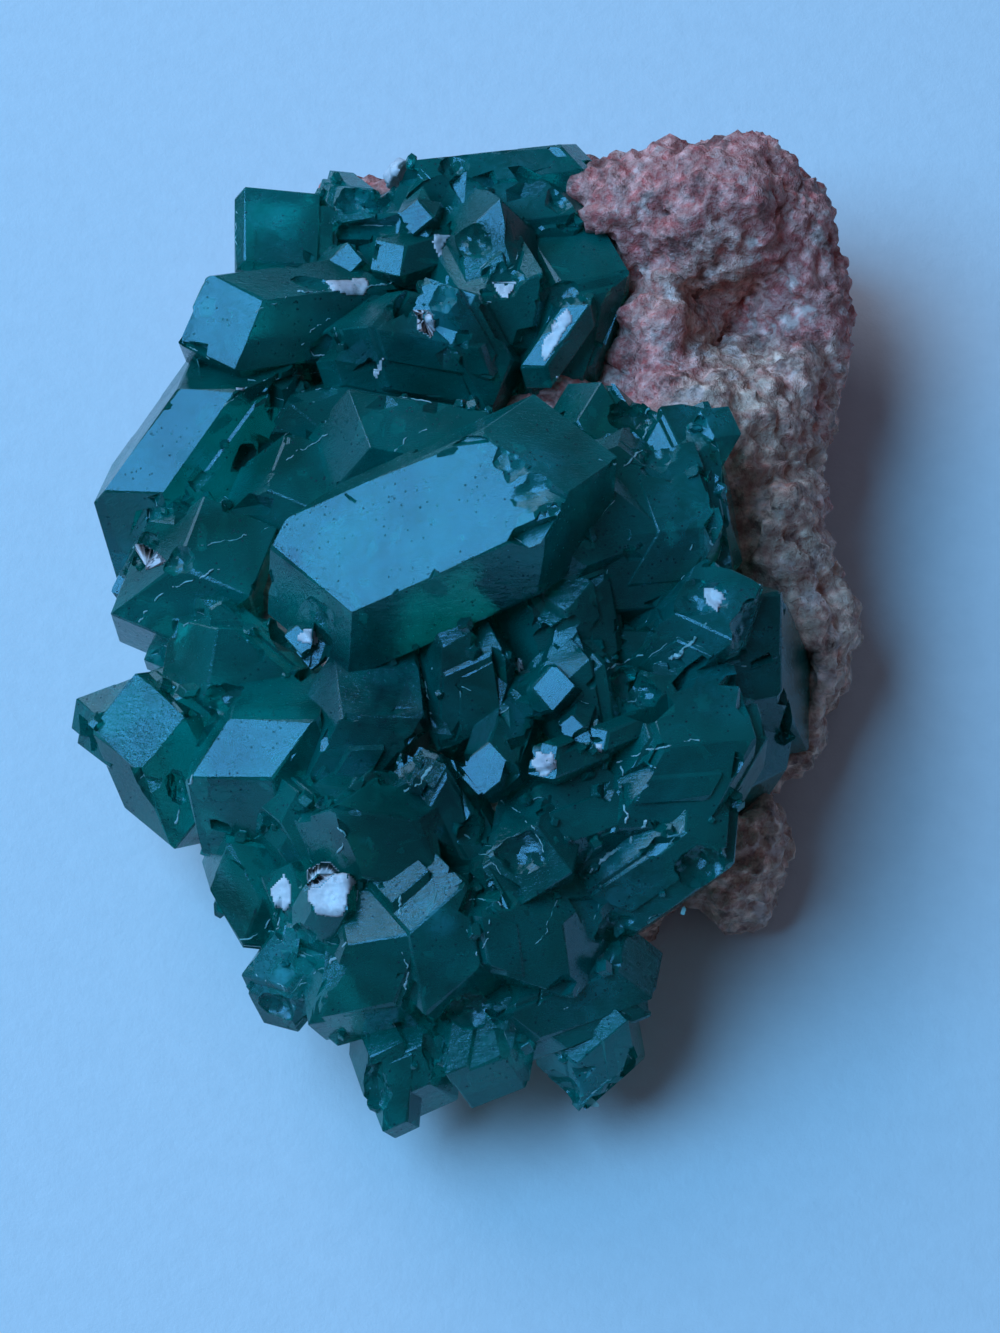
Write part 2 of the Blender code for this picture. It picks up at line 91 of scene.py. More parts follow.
MAIN_CRYSTALS = (
    Crystal("central", "corner", (352, 612), 17.5, (-165, -24), 24, 17.8, (7.6, 6.0, 7.6), 0),
    Crystal("lower_left_block", "corner", (272, 779), 13.0, (-126, -15), 32, 10.0, (6.0, 6.4, 6.0), 0),
    Crystal("left_tip", "corner", (140, 772), 9.5, (119, 52), 21, 9.6, (5.0, 4.8, 4.8), 1),
    Crystal("long_left", "side", (175, 434), 12.0, (-128, -19), 33, 14.8, (5.2, 8.4, 7.4), 1),
    Crystal("left_round", "side", (180, 605), 10.5, (22, 36), 64, 10.0, (5.4, 5.4, 5.4)),
    Crystal("under_long_left", "side", (150, 558), 9.5, (51, 42), 24, 7.6, (3.4, 3.4, 3.4)),
    Crystal("left_upper_tip", "side", (150, 690), 10.0, (15, 15), 16, 8.6, (3.6, 3.6, 3.6)),
    Crystal("between_blocks", "side", (250, 690), 11.0, (148, 29), 5, 9.0, (5.0, 4.2, 5.0)),
    Crystal("left_hollow", "end", (304, 637), 14.0, (-105, 24), 74, 6.0, (1.9, 1.9, 1.9), 1),
    Crystal("back_left", "side", (385, 412), 11.5, (21, -10), 38, 12.0, (5.2, 5.0, 5.6)),
    Crystal("back_middle", "side", (430, 430), 15.0, (167, -4), 34, 12.0, (5.0, 5.0, 5.0)),
    Crystal("back_right", "side", (615, 438), 15.5, (119, 5), 30, 8.0, (4.4, 4.4, 4.4)),
    Crystal("right_top", "end", (697, 428), 16.0, (57, 23), 77, 9.0, (3.8, 4.0, 3.8)),
    Crystal("right_upper", "side", (690, 512), 15.5, (101, 29), 48, 10.4, (6.2, 6.0, 6.4)),
    Crystal("right_inner", "side", (590, 520), 18.0, (25, -6), 53, 11.0, (6.4, 6.4, 6.4)),
    Crystal("right_middle", "side", (655, 570), 16.0, (55, 32), 68, 11.0, (6.4, 6.4, 6.4)),
    Crystal("right_pointed", "end", (742, 655), 13.5, (178, 76), 24, 13.0, (6.4, 6.0, 6.4)),
    Crystal("right_leaning", "side", (670, 650), 14.5, (20, 39), 59, 9.0, (4.6, 4.6, 4.6)),
    Crystal("right_edge", "side", (775, 735), 8.5, (80, 13), 82, 9.0, (4.6, 4.6, 4.6)),
    Crystal("lower_right_dark", "side", (685, 785), 14.0, (56, 27), 57, 11.0, (6.2, 6.2, 6.2)),
    Crystal("lower_right_bright", "side", (650, 885), 11.5, (30, 20), 76, 11.0, (5.4, 5.4, 5.4)),
    Crystal("bottom_right", "side", (582, 1010), 8.5, (22, -1), 79, 9.5, (5.4, 5.0, 5.0)),
    Crystal("bottom_right_tip", "side", (604, 1068), 6.0, (107, 62), 33, 7.4, (4.2, 4.2, 4.4)),
    Crystal("bottom_centre", "side", (478, 1037), 8.5, (79, 23), 28, 6.6, (4.2, 3.6, 3.8)),
    Crystal("bottom_left", "side", (400, 1076), 7.0, (-96, -43), 31, 6.6, (4.4, 4.2, 4.4)),
    Crystal("cracked_upper", "side", (285, 955), 9.5, (42, 34), 23, 7.0, (3.6, 3.6, 3.6)),
    Crystal("cracked_lower", "side", (310, 1000), 8.5, (141, 10), 334, 7.0, (3.6, 3.6, 3.6)),
    Crystal("cracked_edge", "side", (235, 895), 9.0, (122, 19), 343, 7.0, (3.8, 3.8, 3.8)),
    Crystal("lower_dark_left", "side", (370, 975), 11.5, (64, 42), 42, 9.0, (5.0, 5.0, 5.0)),
    Crystal("lower_dark_middle", "side", (445, 950), 12.5, (103, 40), 28, 9.0, (4.8, 4.8, 4.8)),
    Crystal("lower_dark_right", "side", (535, 950), 12.0, (169, 23), 348, 9.0, (5.4, 5.4, 5.4)),
    Crystal("middle_dark", "side", (390, 850), 14.0, (171, 3), 354, 9.0, (5.0, 5.0, 5.0)),
    Crystal("white_chip", "end", (330, 892), 13.0, (42, 58), 60, 5.0, (2.5, 2.5, 2.5), 1),
    Crystal("pale_chip", "end", (283, 888), 11.0, (109, 66), 5, 5.5, (2.6, 2.6, 2.6), 1),
    Crystal("under_white_chip", "side", (312, 850), 11.0, (128, 39), 4, 8.0, (4.6, 4.6, 4.6)),
    Crystal("grey_hexagon", "end", (487, 768), 15.2, (-105, 24), 74, 7.0, (2.6, 2.6, 2.6), 1),
    Crystal("grey_square", "end", (543, 762), 15.4, (-149, 20), 56, 5.0, (1.8, 1.8, 1.8), 1),
    Crystal("grey_tilted", "end", (553, 687), 16.0, (-18, 51), 81, 5.0, (2.2, 2.2, 2.2), 1),
    Crystal("grey_small_upper", "end", (572, 728), 15.4, (-105, 24), 74, 4.0, (1.4, 1.4, 1.4), 1),
    Crystal("grey_small_right", "end", (598, 738), 15.2, (-149, 20), 56, 4.0, (1.3, 1.3, 1.3), 1),
    Crystal("grey_textured", "end", (530, 865), 14.0, (-101, 20), 59, 8.0, (3.8, 3.8, 3.8)),
    Crystal("green_middle", "side", (470, 700), 14.5, (84, 42), 34, 8.0, (4.2, 4.2, 4.2)),
    Crystal("dark_hollow_left", "side", (360, 755), 13.0, (52, 40), 54, 10.0, (5.4, 5.4, 5.4)),
    Crystal("dark_hollow_middle", "side", (450, 835), 13.5, (125, 32), 23, 8.0, (4.4, 4.4, 4.4)),
    Crystal("dark_hollow_right", "side", (600, 800), 13.5, (25, -8), 41, 9.0, (5.4, 5.4, 5.4)),
    Crystal("dark_under_central", "side", (590, 640), 15.0, (103, 42), 48, 9.0, (5.0, 5.2, 5.4)),
    Crystal("dark_left_gap", "side", (272, 520), 11.6, (22, 36), 64, 8.0, (4.6, 4.6, 4.6)),
    Crystal("dark_among_chips", "side", (588, 712), 14.6, (103, 40), 28, 7.0, (3.8, 3.8, 3.8)),
)

UPPER_CRYSTALS = (
    Crystal("top_left_block", "end", (282, 227), 11.5, (28, 47), 82, 6.4, (5.2, 5.2, 5.2)),
    Crystal("top_left_side", "end", (350, 212), 11.0, (-62, 38), 69, 5.2, (3.8, 3.8, 3.8)),
    Crystal("upper_left_prism", "corner", (265, 300), 14.5, (-157, 24), 50, 12.4, (4.6, 5.2, 4.8), 1),
    Crystal("top_centre", "side", (492, 188), 12.5, (-172, 0), 32, 12.0, (6.6, 6.4, 6.6)),
    Crystal("grey_upper", "side", (485, 250), 13.5, (101, 19), 20, 7.3, (4.0, 4.0, 4.0)),
    Crystal("blue_upper", "end", (438, 312), 14.0, (130, 44), 29, 8.0, (4.0, 4.0, 4.0)),
    Crystal("green_upper", "side", (500, 320), 12.5, (78, 35), 43, 9.0, (5.6, 5.6, 5.6)),
    Crystal("upper_right_round", "side", (578, 325), 11.5, (68, 24), 55, 10.0, (5.0, 5.0, 5.0)),
    Crystal("white_sliver", "side", (555, 335), 12.6, (53, 19), 26, 5.5, (1.8, 1.8, 1.8), 1),
    Crystal("dark_upper", "side", (420, 365), 13.0, (175, 13), 346, 9.0, (4.8, 4.8, 4.8)),
    Crystal("chip_upper", "end", (415, 217), 13.2, (-105, 24), 74, 5.0, (1.9, 1.9, 1.9), 1),
    Crystal("chip_lower", "end", (388, 258), 13.0, (-149, 20), 56, 5.0, (2.2, 2.2, 2.2), 1),
    Crystal("chip_left", "end", (346, 260), 12.0, (-22, 50), 83, 4.0, (1.8, 1.8, 1.8), 1),
    Crystal("upper_middle", "side", (420, 265), 11.0, (144, 20), 14, 8.0, (4.6, 4.6, 4.6)),
    Crystal("cyan_small", "end", (397, 205), 11.0, (9, 45), 60, 5.0, (2.2, 2.2, 2.2), 1),
)


def view_axes():
    """Right, up and towards the viewer, as world directions."""
    right = Vector((1, 0, 0))
    up = Vector((0, math.sin(VIEW_RISE), math.cos(VIEW_RISE)))
    back = Vector((0, -math.cos(VIEW_RISE), math.sin(VIEW_RISE)))
    return right, up, back


def view_ray(seen):
    """The eye and the direction through a pixel of the picture, in millimetres."""
    right, up, back = view_axes()
    scale = PIXELS_PER_MILLIMETRE * VIEW_DISTANCE
    across = (seen[0] - PICTURE_MIDDLE[0]) / scale
    down = (seen[1] - PICTURE_MIDDLE[1]) / scale
    return VIEW_TARGET + back * VIEW_DISTANCE, right * across - up * down - back


def place(seen, height):
    """The point at this height, in millimetres, that shows at this pixel of the picture."""
    eye, ray = view_ray(seen)
    return eye + ray * ((height - eye.z) / ray.z)


def turned(crystal):
    """The rotation that turns a crystal's own axes into the world's."""
    azimuth, rise = (math.radians(angle) for angle in crystal.axis)
    axis = Vector((math.cos(azimuth) * math.cos(rise), math.sin(azimuth) * math.cos(rise), math.sin(rise)))
    level = Vector((-math.sin(azimuth), math.cos(azimuth), 0))
    spin = math.radians(crystal.spin)
    first = level * math.cos(spin) + axis.cross(level) * math.sin(spin)
    return Matrix((first, axis.cross(first), axis)).transposed()


def flat_direction(angle):
    return Vector((math.cos(math.radians(angle)), math.sin(math.radians(angle)), 0))


def end_direction(angle, way):
    """Outward normal of an end face: way is 1 at the upper end and -1 at the lower end."""
    return flat_direction(angle) * math.sin(END_SLOPE) + Vector((0, 0, way * math.cos(END_SLOPE)))


def face_planes(length, widths):
    """Normal and distance from the middle of the twelve faces."""
    planes = [(flat_direction(step * PRISM_STEP), widths[step % 3] / 2) for step in range(6)]
    reach = length / 2 * math.cos(END_SLOPE)
    planes += [(end_direction(angle, 1), reach) for angle in UPPER_ENDS]
    planes += [(end_direction(angle, -1), reach) for angle in LOWER_ENDS]
    return planes


def meeting_point(planes):
    """Where three planes meet."""
    normals = Matrix([normal for normal, distance in planes])
    return normals.inverted() @ Vector([distance for normal, distance in planes])


def named_point(crystal):
    """The point of the crystal that its place is given for, from the crystal's middle."""
    planes = face_planes(crystal.length, crystal.widths)
    corner = meeting_point((planes[0], planes[1], planes[6]))
    if crystal.point == "corner":
        return corner
    if crystal.point == "end":
        return (corner + Vector((0, 0, crystal.length / 2))) / 2
    level = (Vector((0, 0, 1)), 0)
    return (meeting_point((planes[0], planes[1], level)) + meeting_point((planes[1], planes[2], level))) / 2


def cut_by(block, planes):
    """Keeps what lies inside every plane."""
    for normal, distance in planes:
        bmesh.ops.bisect_plane(
            block,
            geom=block.verts[:] + block.edges[:] + block.faces[:],
            dist=1e-5,
            plane_co=normal * distance,
            plane_no=normal,
            clear_outer=True,
        )
        bmesh.ops.holes_fill(block, edges=block.edges[:], sides=0)


def worn_planes(block, wear, draw):
    """Planes that take the sharp edges off a convex block, each by its own small depth."""
    planes = []
    for edge in block.edges:
        first, second = (face.normal for face in edge.link_faces)
        tilt = Vector((draw.uniform(-1, 1), draw.uniform(-1, 1), draw.uniform(-1, 1))) * 0.05
        normal = (first + second + tilt).normalized()
        middle = (edge.verts[0].co + edge.verts[1].co) / 2
        planes.append((normal, normal.dot(middle) - wear * draw.uniform(0.3, 1.7)))
    return planes


def add_polyhedron(bm, length, widths, matrix, wear, draw):
    """One six-sided crystal with worn edges, put in place by the matrix."""
    block = bmesh.new()
    bmesh.ops.create_cube(block, size=BLOCK)
    cut_by(block, face_planes(length, widths))
    bmesh.ops.recalc_face_normals(block, faces=block.faces[:])
    cut_by(block, worn_planes(block, wear, draw))
    bmesh.ops.recalc_face_normals(block, faces=block.faces[:])
    block.transform(matrix)
    add_mesh_of(bm, block)


def add_mesh_of(bm, other):
    """Adds the other's mesh and frees it."""
    piece = bpy.data.meshes.new("piece")
    other.to_mesh(piece)
    other.free()
    bm.from_mesh(piece)
    bpy.data.meshes.remove(piece)


LAYER_STEP = (0.05, 0.2)
LAYER_SHARE = (0.35, 0.8)
LAYER_TWIST = math.radians(0.8)


def layer_of(crystal, draw):
    """A growth layer: a narrower copy whose side stands a small step out of a face."""
    share = draw.uniform(*LAYER_SHARE)
    widths = tuple(width * share for width in crystal.widths)
    length = crystal.length * draw.uniform(0.5, 0.95)
    face = draw.randrange(6)
    normal = flat_direction(face * PRISM_STEP)
    out = (crystal.widths[face % 3] - widths[face % 3]) / 2 + draw.uniform(*LAYER_STEP)
    along = draw.uniform(-1, 1) * ((crystal.length - length) / 2 + LAYER_STEP[1])
    aside = draw.uniform(-0.3, 0.3) * (1 - share) * crystal.widths[face % 3]
    axis = Vector((0, 0, 1))
    offset = normal * out + axis * along + normal.cross(axis) * aside
    twist = Matrix.Rotation(draw.uniform(-1, 1) * LAYER_TWIST, 4, normal)
    return length, widths, Matrix.Translation(offset) @ twist


def add_crystal(bm, crystal, draw):
    """The crystal and its growth layers."""
    rotation = turned(crystal)
    middle = place(crystal.seen, crystal.height) - rotation @ named_point(crystal)
    matrix = Matrix.Scale(MILLIMETRE, 4) @ Matrix.Translation(middle) @ rotation.to_4x4()
    add_polyhedron(bm, crystal.length, crystal.widths, matrix, EDGE_WEAR, draw)
    for number in range(crystal.layers):
        length, widths, shift = layer_of(crystal, draw)
        add_polyhedron(bm, length, widths, matrix @ shift, EDGE_WEAR * 0.5, draw)


def object_from(bm, name):
    mesh = bpy.data.meshes.new(name)
    bm.to_mesh(mesh)
    bm.free()
    made = bpy.data.objects.new(name, mesh)
    bpy.context.scene.collection.objects.link(made)
    return made


def bake_modifiers(target):
    """Applies the modifiers."""
    graph = bpy.context.evaluated_depsgraph_get()
    mesh = bpy.data.meshes.new_from_object(target.evaluated_get(graph))
    target.modifiers.clear()
    old = target.data
    target.data = mesh
    bpy.data.meshes.remove(old)


def combine(target, other, operation):
    """Joins the other mesh to the target or cuts it out of it, and removes the other."""
    modifier = target.modifiers.new(operation.lower(), "BOOLEAN")
    modifier.operation = operation
    modifier.solver = "EXACT"
    modifier.use_self = True
    modifier.object = other
    bake_modifiers(target)
    bpy.data.objects.remove(other)


def keep_largest(target):
    """Drops the chips that a cut has set free, and what is too small to be a face."""
    bm = bmesh.new()
    bm.from_mesh(target.data)
    bmesh.ops.remove_doubles(bm, verts=bm.verts[:], dist=2e-6)
    bmesh.ops.dissolve_degenerate(bm, dist=2e-6, edges=bm.edges[:])
    left = set(bm.faces)
    bodies = []
    while left:
        queue = [left.pop()]
        body = []
        while queue:
            face = queue.pop()
            body.append(face)
            for edge in face.edges:
                for other in edge.link_faces:
                    if other in left:
                        left.remove(other)
                        queue.append(other)
        bodies.append(body)
    largest = max(bodies, key=len)
    loose = [face for body in bodies if body is not largest for face in body]
    bmesh.ops.delete(bm, geom=loose, context="FACES")
    bmesh.ops.delete(bm, geom=[vert for vert in bm.verts if not vert.link_faces], context="VERTS")
    bm.to_mesh(target.data)
    bm.free()


SMALL_SIZE = (0.3, 0.85)
SMALL_SHARE_SUNK = 0.2
EDGE_ANGLE = math.radians(25)
EDGE_LEAST_LENGTH = 0.3
UPWARD_LEAST = 0.15


def edges_of(mesh, way):
    """The longer upward edges, as two ends and an outward direction.

    way is -1 for the hollow edges where crystals meet, and 1 for the crystals' own edges.
    """
    bm = bmesh.new()
    bm.from_mesh(mesh)
    found = []
    for edge in bm.edges:
        if len(edge.link_faces) != 2 or edge.calc_length() < EDGE_LEAST_LENGTH * MILLIMETRE:
            continue
        if edge.calc_face_angle_signed(0) * way < EDGE_ANGLE:
            continue
        first, second = (face.normal for face in edge.link_faces)
        out = (first + second).normalized()
        if out.z > UPWARD_LEAST:
            found.append((edge.verts[0].co.copy(), edge.verts[1].co.copy(), out))
    bm.free()
    return found


def pick_edges(edges, count, draw):
    """Some of the edges, long ones more often."""
    return draw.choices(edges, weights=[(second - first).length for first, second, out in edges], k=count)


def add_small_crystals(bm, mesh, count, draw):
    """Small crystals in the hollows between the large ones."""
    for first, second, out in pick_edges(edges_of(mesh, -1), count, draw):
        width = draw.uniform(*SMALL_SIZE) * draw.uniform(0.6, 1)
        length = width * draw.uniform(1.3, 2.2)
        spot = first.lerp(second, draw.random()) + out * width * SMALL_SHARE_SUNK * MILLIMETRE
        jitter = Vector((draw.gauss(0, 1), draw.gauss(0, 1), draw.gauss(0, 1)))
        axis = (out * 1.5 + jitter).normalized()
        rotation = axis.to_track_quat("Z", "Y").to_matrix() @ Matrix.Rotation(draw.uniform(0, 6), 3, "Z")
        matrix = Matrix.Translation(spot) @ rotation.to_4x4() @ Matrix.Scale(MILLIMETRE, 4)
        widths = [width * draw.uniform(0.8, 1.2) for pair in range(3)]
        add_polyhedron(bm, length, widths, matrix, EDGE_WEAR * 0.3, draw)


class Break(NamedTuple):
    """A broken spot: where it shows, its radii in millimetres, and how deep it goes."""
    seen: tuple
    radii: tuple
    depth: float


MAIN_BREAKS = (
    Break((548, 516), (1.5, 0.9, 0.8), 0.25),
    Break((512, 462), (1.6, 1.4, 1.2), 0.14),
    Break((530, 490), (1.8, 1.4, 1.2), 0.2),
    Break((318, 612), (1.6, 1.2, 1.2), 0.2),
    Break((700, 598), (1.6, 1.0, 1.0), 0.5),
    Break((745, 625), (1.0, 1.6, 1.0), 0.5),
    Break((640, 690), (1.2, 0.8, 1.0), 0.4),
    Break((660, 450), (0.9, 1.4, 1.0), 0.4),
    Break((625, 420), (1.2, 0.9, 1.0), 0.4),
    Break((250, 960), (1.2, 0.8, 1.0), 0.4),
    Break((300, 940), (0.9, 1.2, 1.0), 0.4),
    Break((275, 1005), (1.2, 0.9, 1.0), 0.4),
    Break((470, 1010), (1.4, 0.9, 1.0), 0.4),
    Break((555, 1085), (1.6, 0.9, 1.0), 0.5),
    Break((610, 930), (1.2, 1.0, 1.0), 0.4),
    Break((700, 870), (1.2, 1.4, 1.0), 0.5),
    Break((520, 850), (1.5, 1.2, 1.0), 0.35),
    Break((400, 760), (1.4, 1.0, 1.0), 0.5),
    Break((180, 560), (1.2, 1.0, 1.0), 0.4),
    Break((140, 545), (0.8, 1.0, 1.0), 0.4),
    Break((225, 700), (1.2, 0.9, 0.8), 0.3),
    Break((175, 790), (0.4, 1.2, 0.8), 0.25),
    Break((375, 1090), (1.2, 0.8, 1.0), 0.4),
)

UPPER_BREAKS = (
    Break((470, 240), (1.4, 1.0, 0.9), 0.35),
    Break((440, 300), (1.0, 1.4, 0.9), 0.3),
    Break((505, 285), (1.2, 1.0, 0.9), 0.4),
    Break((560, 290), (1.2, 0.9, 0.9), 0.4),
    Break((350, 200), (1.2, 0.8, 0.9), 0.3),
    Break((455, 165), (0.9, 0.7, 0.9), 0.3),
    Break((560, 200), (0.9, 0.9, 0.9), 0.4),
    Break((320, 285), (1.4, 0.5, 0.6), 0.25),
)


def surface_of(target):
    """A tree that finds where the viewer's ray meets the object."""
    mesh = target.data
    return BVHTree.FromPolygons([v.co for v in mesh.vertices], [p.vertices[:] for p in mesh.polygons])


def hit(tree, seen):
    """Where the pixel's ray meets the surface, and the surface's direction there, in metres."""
    eye, ray = view_ray(seen)
    spot, normal, face, distance = tree.ray_cast(eye * MILLIMETRE, ray.normalized())
    return spot, normal


BREAK_FINENESS = 4
BREAK_ROUGH_SIZE = 0.5
CHIP_FACES = 9
CHIP_RADIUS = (0.2, 0.85)
CHIP_BITE = (0.15, 0.35)


def add_bite(bm, middle, radii, draw):
    """A rough ball, which leaves a curved broken surface where it is cut away."""
    rotation = Matrix.Rotation(draw.uniform(0, 6), 3, draw.choice("XYZ"))
    rough = min(radii) * 0.22
    size = min(radii) * BREAK_ROUGH_SIZE
    made = bmesh.ops.create_icosphere(bm, subdivisions=BREAK_FINENESS, radius=1)
    for vert in made["verts"]:
        point = rotation @ Vector([part * radius for part, radius in zip(vert.co, radii)])
        out = (rotation @ vert.co).normalized()
        push = noise.noise((point + middle) / size) * rough
        push += abs(noise.noise((point + middle) / (size * 0.4))) * rough * 0.4
        vert.co = (middle + point + out * push) * MILLIMETRE


def add_break(bm, tree, broken, draw):
    """Bites into the surface at the broken spot."""
    spot, normal = hit(tree, broken.seen)
    if spot is not None:
        middle = spot / MILLIMETRE + normal * (min(broken.radii) - broken.depth)
        add_bite(bm, middle, broken.radii, draw)


def random_direction(draw):
    return Vector((draw.gauss(0, 1), draw.gauss(0, 1), draw.gauss(0, 1))).normalized()


def add_block(bm, planes, matrix):
    """What lies inside every plane, put in place by the matrix."""
    block = bmesh.new()
    bmesh.ops.create_cube(block, size=BLOCK)
    cut_by(block, planes)
    bmesh.ops.recalc_face_normals(block, faces=block.faces[:])
    block.transform(matrix)
    add_mesh_of(bm, block)


def add_chips(bm, mesh, count, draw):
    """Small angular bites along the crystals' own edges."""
    for first, second, out in pick_edges(edges_of(mesh, 1), count, draw):
        radius = draw.uniform(*CHIP_RADIUS) * draw.uniform(0.5, 1)
        middle = first.lerp(second, draw.random()) / MILLIMETRE + out * radius * (1 - draw.uniform(*CHIP_BITE))
        planes = [(random_direction(draw), radius * draw.uniform(0.7, 1)) for face in range(CHIP_FACES)]
        planes += [(axis * way, radius * 1.6) for axis in Matrix.Identity(3) for way in (-1, 1)]
        along = (second - first).normalized().to_track_quat("X", "Z").to_matrix().to_4x4()
        stretch = Matrix.Diagonal((draw.uniform(1, 2.2), 1, 1, 1))
        matrix = Matrix.Scale(MILLIMETRE, 4) @ Matrix.Translation(middle) @ along @ stretch
        add_block(bm, planes, matrix)


class Groove(NamedTuple):
    """A narrow dark crack: the pixels that it passes, and its width in millimetres."""
    seen: tuple
    width: float


GROOVES = (
    Groove(((341, 522), (352, 531), (364, 539), (372, 546)), 0.13),
    Groove(((345, 494), (350, 498), (356, 502)), 0.22),
    Groove(((312, 567), (322, 577), (338, 578), (360, 570), (385, 560), (402, 552)), 0.07),
    Groove(((366, 528), (380, 534), (392, 527)), 0.06),
    Groove(((350, 600), (330, 590), (316, 588)), 0.08),
)
GROOVE_STEP = 3.0


def add_groove(bm, tree, groove, draw):
    """A thin uneven tube on the surface, to be cut away."""
    spots = []
    for seen in along_pixels(groove.seen, GROOVE_STEP):
        spot, normal = hit(tree, seen)
        if spot is not None:
            spots.append(spot / MILLIMETRE)
    if len(spots) > 1:
        radii = [groove.width / 2 * draw.uniform(0.5, 1.3) for spot in spots]
        add_tube(bm, spots, radii)


def along_pixels(seen, step):
    """Points along the line through the pixels, a step apart."""
    found = []
    for first, second in zip(seen, seen[1:]):
        first, second = Vector(first), Vector(second)
        count = max(1, int((second - first).length / step))
        found += [first.lerp(second, number / count) for number in range(count)]
    return found + [Vector(seen[-1])]


def make_crystals(name, crystals, breaks, grooves, small_count, chip_count, seed):
    """A group of crystals grown together, with its small crystals, broken spots and chipped edges."""
    draw = random.Random(seed)
    bm = bmesh.new()
    add_crystal(bm, crystals[0], draw)
    group = object_from(bm, name)
    bm = bmesh.new()
    for crystal in crystals[1:]:
        add_crystal(bm, crystal, draw)
    combine(group, object_from(bm, name + "_others"), "UNION")
    bm = bmesh.new()
    add_small_crystals(bm, group.data, small_count, draw)
    combine(group, object_from(bm, name + "_small"), "UNION")
    tree = surface_of(group)
    bm = bmesh.new()
    for broken in breaks:
        add_break(bm, tree, broken, draw)
    add_chips(bm, group.data, chip_count, draw)
    for groove in grooves:
        add_groove(bm, tree, groove, draw)
    combine(group, object_from(bm, name + "_breaks"), "DIFFERENCE")
    keep_largest(group)
    group.data.set_sharp_from_angle(angle=math.radians(22))
    return group


SEAM_STEP = 0.08
SEAM_SIDES = 5
SEAM_WIDTH = (0.01, 0.04)
SEAM_PATCH = 0.5
SEAM_WANDER = 0.09
SEAM_BEND = 0.45


def add_tube(bm, points, radii):
    """A closed thin tube through the points, all in millimetres."""
    rings = []
    for number, (point, radius) in enumerate(zip(points, radii)):
        along = points[min(number + 1, len(points) - 1)] - points[max(number - 1, 0)]
        turn = along.to_track_quat("Z", "Y").to_matrix()
        corners = [flat_direction(step * 360 / SEAM_SIDES) * radius for step in range(SEAM_SIDES)]
        rings.append([bm.verts.new((point + turn @ corner) * MILLIMETRE) for corner in corners])
    for low, high in zip(rings, rings[1:]):
        for step in range(SEAM_SIDES):
            after = (step + 1) % SEAM_SIDES
            bm.faces.new((low[step], low[after], high[after], high[step]))
    bm.faces.new(rings[0][::-1])
    bm.faces.new(rings[-1])


def add_seam(bm, points, width, draw):
    """A pale seam along the points, uneven and broken where it thins out."""
    run = []
    for point in points:
        share = 0.5 + noise.noise(point / SEAM_PATCH) * 1.3 + draw.uniform(-0.2, 0.2)
        wander = noise.noise_vector(point / SEAM_BEND) * SEAM_WANDER
        shaken = point + wander + random_direction(draw) * width * 0.6
        if share > 0.35:
            run.append((shaken, width * share))
            continue
        if len(run) > 1:
            add_tube(bm, [p for p, r in run], [r for p, r in run])
        run = []
    if len(run) > 1:
        add_tube(bm, [p for p, r in run], [r for p, r in run])


def add_edge_seams(bm, mesh, share, draw):
    """Pale seams in some of the hollows where crystals meet."""
    for first, second, out in edges_of(mesh, -1):
        if draw.random() > share:
            continue
        start, end = first / MILLIMETRE, second / MILLIMETRE
        steps = max(2, int((end - start).length / SEAM_STEP))
        points = [start.lerp(end, step / steps) + out * SEAM_WIDTH[0] for step in range(steps + 1)]
        add_seam(bm, points, draw.uniform(*SEAM_WIDTH), draw)


class Crack(NamedTuple):
    """A pale crack: the pixels that it passes, and its width in millimetres."""
    seen: tuple
    width: float


